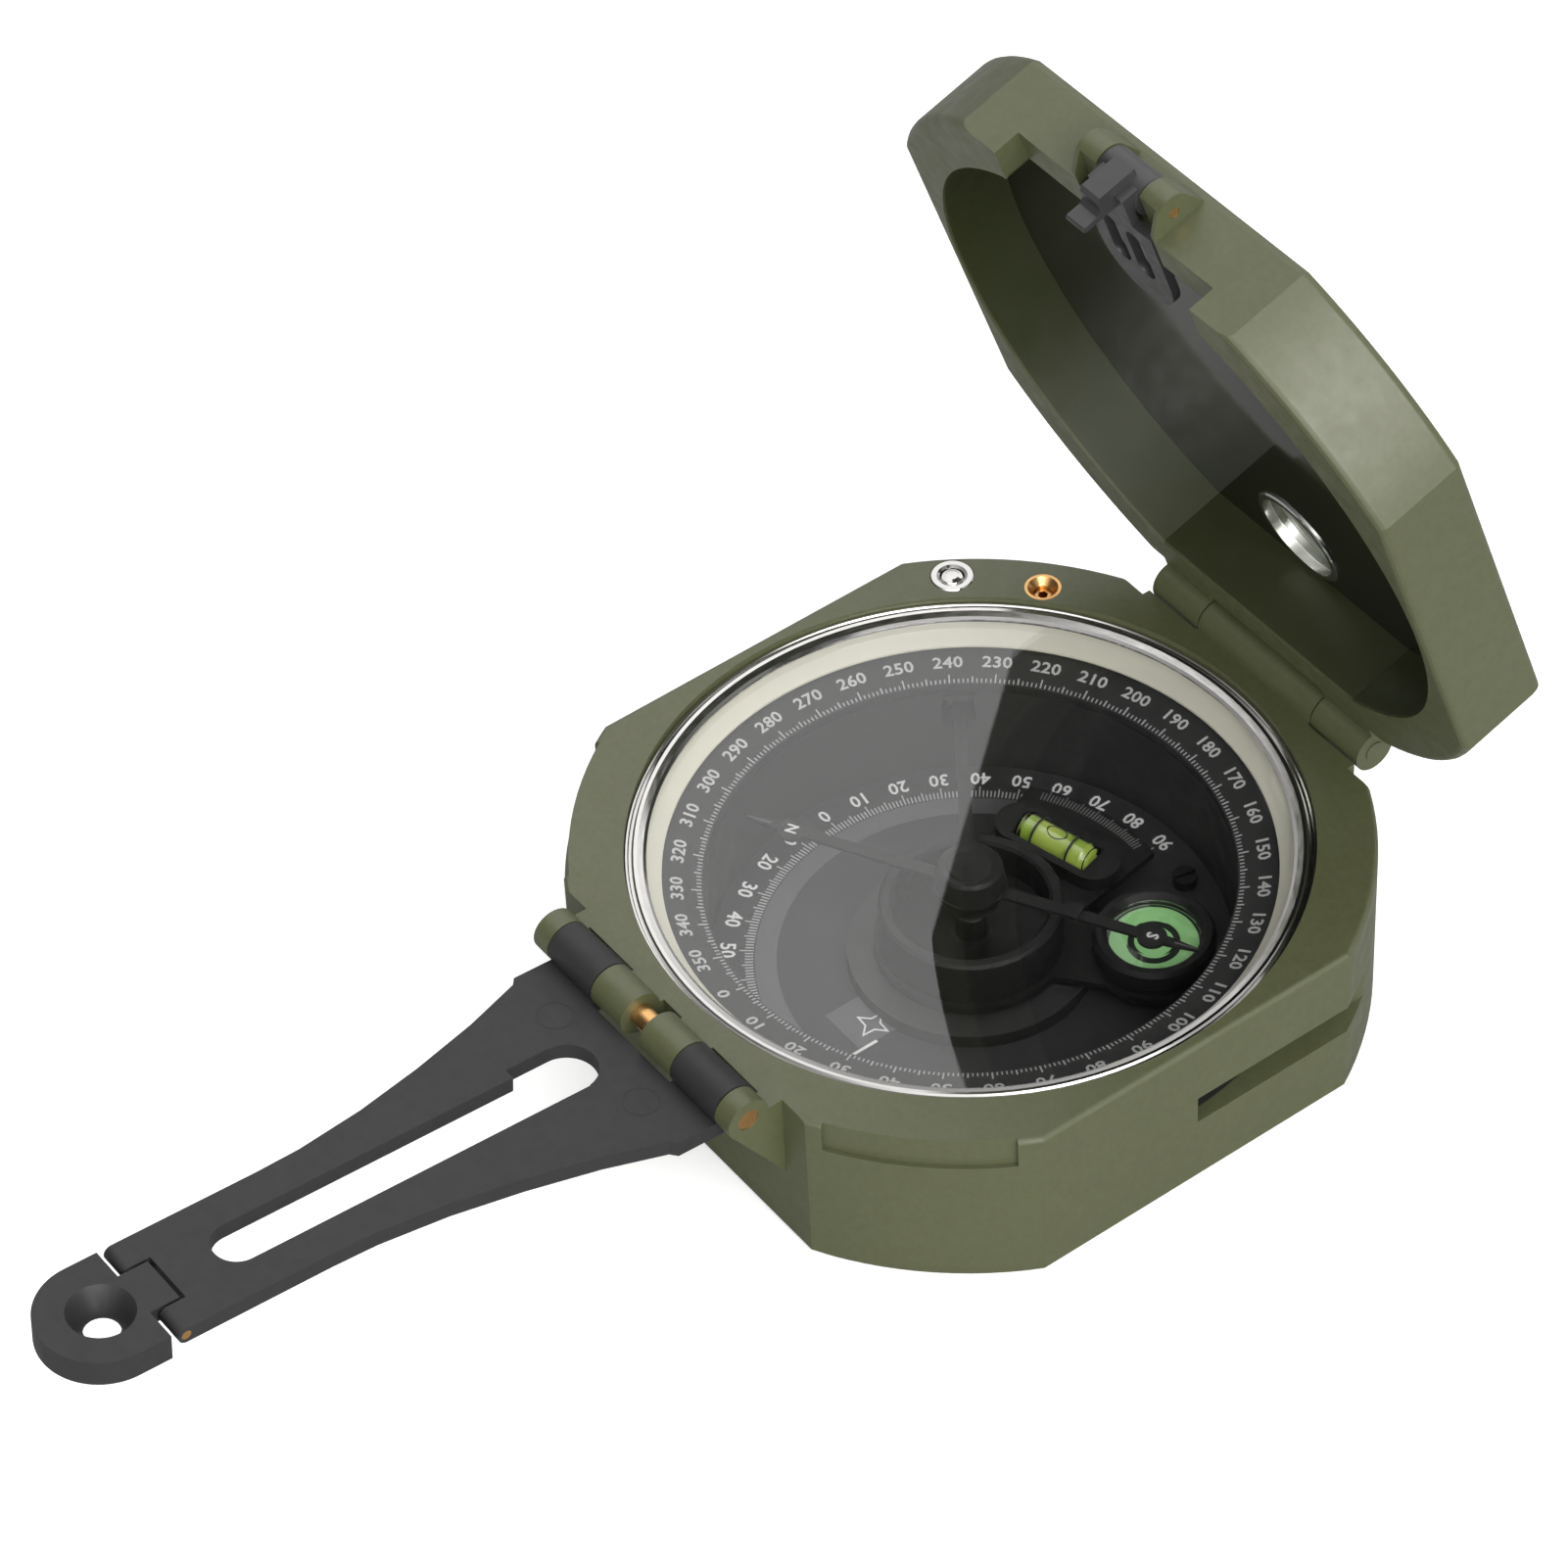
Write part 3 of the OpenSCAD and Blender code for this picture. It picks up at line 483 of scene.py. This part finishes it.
def corner(level, turn=0.0):
    """Picks the corners of the case's or the lid's outline at one height of the closed
    compass; turn is how far the piece has opened about the lid hinge."""
    c, s = math.cos(turn), math.sin(turn)

    def pick(co):
        dy, dz = co.y - LID_AXIS[0], co.z - LID_AXIS[1]
        y, z = dy * c - dz * s + LID_AXIS[0], dy * s + dz * c + LID_AXIS[1]
        return (math.hypot(co.x, y) > OUTLINE_R - 0.3 and abs(y) < OUTLINE_Y + 0.05
                and abs(z - level) < 0.05)
    return pick


soften("case_body", 0.7, 4, [corner(z) for z in CASE_LEVELS])
soften("lid_shell", 0.9, 4, [corner(z, LID_OPEN) for z in LID_LEVELS])
soften("sight_arm", 0.15, 2)
soften("peep_sight", 0.2, 2)
soften("lid_sight", 0.12, 2)


# ---------------------------------------------------------------- drawing tools
class Drawing:
    """Gathers thin closed shapes into one mesh object. Each shape lies in the XY plane of
    a matrix m and rises h from it."""

    def __init__(self):
        self.bm = bmesh.new()

    def row(self, points, m):
        return [self.bm.verts.new(m @ Vector((x * MM, y * MM, z * MM)))
                for x, y, z in points]

    def sew(self, rows, closed=True):
        """Faces between neighbouring loops of vertices, and from the last to the first."""
        for p, q in zip(rows, rows[1:] + rows[:1] if closed else rows[1:]):
            for i in range(len(p)):
                j = (i + 1) % len(p)
                self.bm.faces.new((p[i], p[j], q[j], q[i]))

    def prism(self, outline, h, m):
        lo = self.row([(x, y, 0) for x, y in outline], m)
        hi = self.row([(x, y, h) for x, y in outline], m)
        self.bm.faces.new(lo[::-1])
        self.bm.faces.new(hi)
        self.sew([lo, hi], closed=False)

    def line(self, half, length, m):
        """A printed line from m's origin along its Y axis, twice half wide."""
        self.prism([(-half, 0), (half, 0), (half, length), (-half, length)], INK, m)

    def band(self, inner, outer, h, m):
        """A flat closed band between two outlines with the same number of points."""
        self.sew([self.row([(x, y, z) for x, y in outline], m)
                  for outline, z in ((inner, 0), (outer, 0), (outer, h), (inner, h))])

    def text(self, s, size, m, bold, squeeze):
        """Printed figures or letters; bold widens their strokes, squeeze their width."""
        curve = bpy.data.curves.new("figure", "FONT")
        curve.body = s
        curve.size = size * MM
        curve.align_x = "CENTER"
        curve.align_y = "CENTER"
        curve.extrude = INK * MM / 2
        curve.offset = bold * MM
        curve.resolution_u = 2
        curve.space_character = 1.02
        ob = bpy.data.objects.new("figure", curve)
        me = bpy.data.meshes.new_from_object(ob)
        me.transform(m @ Matrix.Translation((0, 0, INK * MM / 2))
                     @ Matrix.Diagonal((squeeze, 1, 1, 1)))
        self.bm.from_mesh(me)
        bpy.data.objects.remove(ob)
        bpy.data.curves.remove(curve)
        bpy.data.meshes.remove(me)

    def hoop(self, profile, m, steps=48):
        """A closed profile of (r, z), turned around the Z axis of m."""
        turns = [2 * math.pi * k / steps for k in range(steps)]
        self.sew([self.row([(r * math.cos(a), r * math.sin(a), z) for r, z in profile], m)
                  for a in turns])

    def build(self, name, mat, body, smooth=False):
        bmesh.ops.recalc_face_normals(self.bm, faces=self.bm.faces[:])
        me = bpy.data.meshes.new(name)
        self.bm.to_mesh(me)
        self.bm.free()
        if smooth:
            for p in me.polygons:
                p.use_smooth = True
        me.materials.append(MATS[mat])
        ob = bpy.data.objects.new(name, me)
        bpy.context.scene.collection.objects.link(ob)
        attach(ob, body)
        return ob


UP = Vector((0, 0, 1))


def at(x, y, z):
    return Matrix.Translation((x * MM, y * MM, z * MM))


def frame_at(o, x, y):
    """A matrix at o whose X and Y axes are x and y."""
    x, y = Vector(x).normalized(), Vector(y).normalized()
    return matrix_of((x, y, x.cross(y)), Vector(o) * MM)


def outward(deg):
    a = math.radians(deg)
    return Vector((math.cos(a), math.sin(a), 0))


def sideways(deg):
    """A quarter turn anticlockwise from outward."""
    a = math.radians(deg)
    return Vector((-math.sin(a), math.cos(a), 0))


def on_dial(r, deg, z, inward=False, slope=0.0):
    """On the dial at radius r. Text has its top outward on a surface that rises by slope,
    or its top inward on a level one."""
    o = outward(deg) * r + UP * z
    if inward:
        return frame_at(o, sideways(deg), -outward(deg))
    return frame_at(o, -sideways(deg), outward(deg) * math.cos(slope) + UP * math.sin(slope))


def polar(r, deg, middle=(0, 0)):
    a = math.radians(deg)
    return middle[0] + r * math.cos(a), middle[1] + r * math.sin(a)


def circle(r, n=64, middle=(0, 0)):
    return [polar(r, 360 * k / n, middle) for k in range(n)]


def arc(r, start, end, n=96):
    return [polar(r, start + (end - start) * k / n) for k in range(n + 1)]


def star(tip, notch, turn=20):
    """Four points, with tips and notches at two radii."""
    return [polar(r, 45 * k + turn) for k, r in enumerate((tip, notch) * 4)]


def by_step(n, tenth, fifth, other):
    """A scale line's value: for each tenth, each fifth, or any other degree."""
    return tenth if n % 10 == 0 else fifth if n % 5 == 0 else other


# ---------------------------------------------------------------- printed marks
def draw_azimuth_ring():
    """A figure every ten degrees and a line for every degree, on the ring's cone."""
    def on_ring(r, n):
        z = RING_Z + (r - RING_R) * RING_RISE / RING_RUN + 0.005
        return on_dial(r, -90 + n + RING_TURN, z, slope=math.atan2(RING_RISE, RING_RUN))

    figures_r, lines_r = 29.1, 26.72
    d = Drawing()
    for n in range(0, 360, 10):
        d.text(str(n), 1.85, on_ring(figures_r, n), 0.035, 1.12)
    d.build("azimuth_figures", "figures", "azimuth")
    d = Drawing()
    for n in range(360):
        d.line(by_step(n, 0.075, 0.075, 0.06), by_step(n, 27.75, 27.45, 27.2) - lines_r,
               on_ring(lines_r, n))
    d.build("azimuth_lines", "faint", "azimuth")


def draw_clinometer_scale():
    """The scale on the plate, both ways from zero, with an index line, a plain pointed
    mark, and the paler track and patch behind them."""
    z = PLATE_TOP + 0.01
    figures_r, lines_r = 24.75, 22.05
    d = Drawing()
    for n in range(0, 100, 10):
        for side in (-n, n) if n else (0,):
            d.text(str(n), 2.25, on_dial(figures_r, 180 + side, z, inward=True), 0.04, 0.92)
    d.build("clinometer_figures", "white", "case")
    d = Drawing()
    for n in range(-90, 91):
        d.line(0.07, by_step(n, 23.5, 23.2, 22.9) - lines_r, on_dial(lines_r, 180 - n, z))
    d.build("clinometer_lines", "faint", "case")
    d = Drawing()
    d.line(0.17, 3.6, at(3.3, -18.2, z))
    d.band(star(1.53, 0.65), star(1.95, 0.85), INK, at(1.3, -13.6, z + 0.02))
    d.build("index_marks", "white", "case")
    d = Drawing()
    start, end = 92, 278
    track = arc(21.9, start, end) + arc(19.7, end, start)
    patch = [(-2.6, -16.6), (3.2, -16.6), (3.2, -11.4), (-2.6, -11.2)]
    for outline in (track, patch):
        d.prism(outline, 0.012, at(0, 0, PLATE_TOP))
    d.build("scale_track", "grey", "case")


def draw_needle():
    """The letters on the needle's pads, and a fine line along each tip."""
    def on_needle(r, end):
        out, side = outward(NEEDLE_DIR) * end, sideways(NEEDLE_DIR) * end
        return frame_at(out * r + UP * NEEDLE_MARK_Z, -side, out)

    d = Drawing()
    for letter, end in (("N", 1), ("S", -1)):
        d.text(letter, 1.7, on_needle(19.4, end), 0.04, 0.95)
    d.build("needle_marks", "figures", "needle")
    d = Drawing()
    for end in (1, -1):
        d.prism([(-0.07, -2.4), (0.07, -2.4), (0.03, 0), (-0.03, 0)], 0.02,
                on_needle(24.2, end))
    d.build("needle_tips", "dim", "needle")


def draw_tube_level():
    """Two gauge lines around the vial, and the bubble's outline on the liquid."""
    out, side = outward(TUBE_DIR), sideways(TUBE_DIR)
    middle = out * TUBE_R + UP * TUBE_Z
    d = Drawing()
    for s in (-2.2, 2.2):
        d.hoop([(1.81, -0.13), (1.84, -0.13), (1.84, 0.13), (1.81, 0.13)],
               frame_at(middle + side * s, out, UP))
    d.build("tube_lines", "line", "clinometer")
    d = Drawing()
    outline = []
    for k in range(48):
        c, s = math.cos(2 * math.pi * k / 48), math.sin(2 * math.pi * k / 48)
        outline.append((1.1 * c * (1 + 0.12 * abs(c)), 0.75 * s))
    rows = []
    for scale, r in ((0.86, 1.515), (1.0, 1.515), (1.0, 1.535), (0.86, 1.535)):
        points = [middle + side * (u * scale) + out * (v * scale)
                  + UP * math.sqrt(r * r - (v * scale) ** 2) for u, v in outline]
        rows.append(d.row(points, Matrix.Identity(4)))
    d.sew(rows)
    d.build("bubble_outline", "line", "clinometer")


def draw_vernier():
    """Fine lines on the vernier plate's edge beyond the tube level."""
    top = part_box("vernier_plate")[1][2] / MM
    lines_r = 20.1
    d = Drawing()
    for n in range(-17, 18):
        d.line(0.06, by_step(n, 21.45, 21.45, 21.1) - lines_r,
               on_dial(lines_r, TUBE_DIR + n, top + 0.005))
    d.build("vernier_lines", "dim", "clinometer")


def draw_round_level():
    """The gauge line and the border line on the round level's disc."""
    middle = outward(ROUND_DIR) * ROUND_R
    m = at(middle.x, middle.y, ROUND_MARK_Z)
    d = Drawing()
    d.band(circle(1.9), circle(2.55), INK, m)
    d.band(circle(4.3), circle(4.62), INK, m)
    d.build("round_level_line", "line", "clinometer")


def draw_arm_marks():
    """Two faint round marks near the sight arm's root."""
    face = at(0, *ARM_AXIS) @ Matrix.Rotation(-ARM_RISE, 4, "X") @ at(0, 0, -ARM_DROP)
    d = Drawing()
    for x in (-7.1, 7.1):
        d.band(circle(1.72, 48, (x, -6.1)), circle(1.9, 48, (x, -6.1)), 0.02, face)
    d.build("arm_marks", "line", "arm")


def make_spring():
    """One coil of wire under the lift lever, built at the CAD spring's rest length."""
    lo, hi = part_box("lift_spring")
    mid = ((lo[0] + hi[0]) / 2, (lo[1] + hi[1]) / 2)
    coil_r, wire_r, gap = 1.05, 0.18, 0.02
    turns, flat_turns, steps, sides = 4.5, 0.6, 30, 10
    bottom, top = lo[2] / MM + gap + wire_r, hi[2] / MM - gap - wire_r
    d = Drawing()
    rows = []
    for k in range(int(turns * steps) + 1):
        rise = (k / steps - flat_turns) / (turns - 2 * flat_turns)
        z = bottom + (top - bottom) * min(max(rise, 0.0), 1.0)
        out = outward(360 * k / steps)
        middle = Vector((mid[0] / MM, mid[1] / MM, z)) + out * coil_r
        around = [2 * math.pi * i / sides for i in range(sides)]
        rows.append(d.row([middle + out * (wire_r * math.cos(a)) + UP * (wire_r * math.sin(a))
                           for a in around], Matrix.Identity(4)))
    d.sew(rows, closed=False)
    d.bm.faces.new(rows[0])
    d.bm.faces.new(rows[-1][::-1])
    spring = d.build("spring_coil", "steel", "case", smooth=True)
    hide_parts("lift_spring")
    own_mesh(spring)


draw_azimuth_ring()
draw_clinometer_scale()
draw_needle()
draw_tube_level()
draw_vernier()
draw_round_level()
draw_arm_marks()
make_spring()
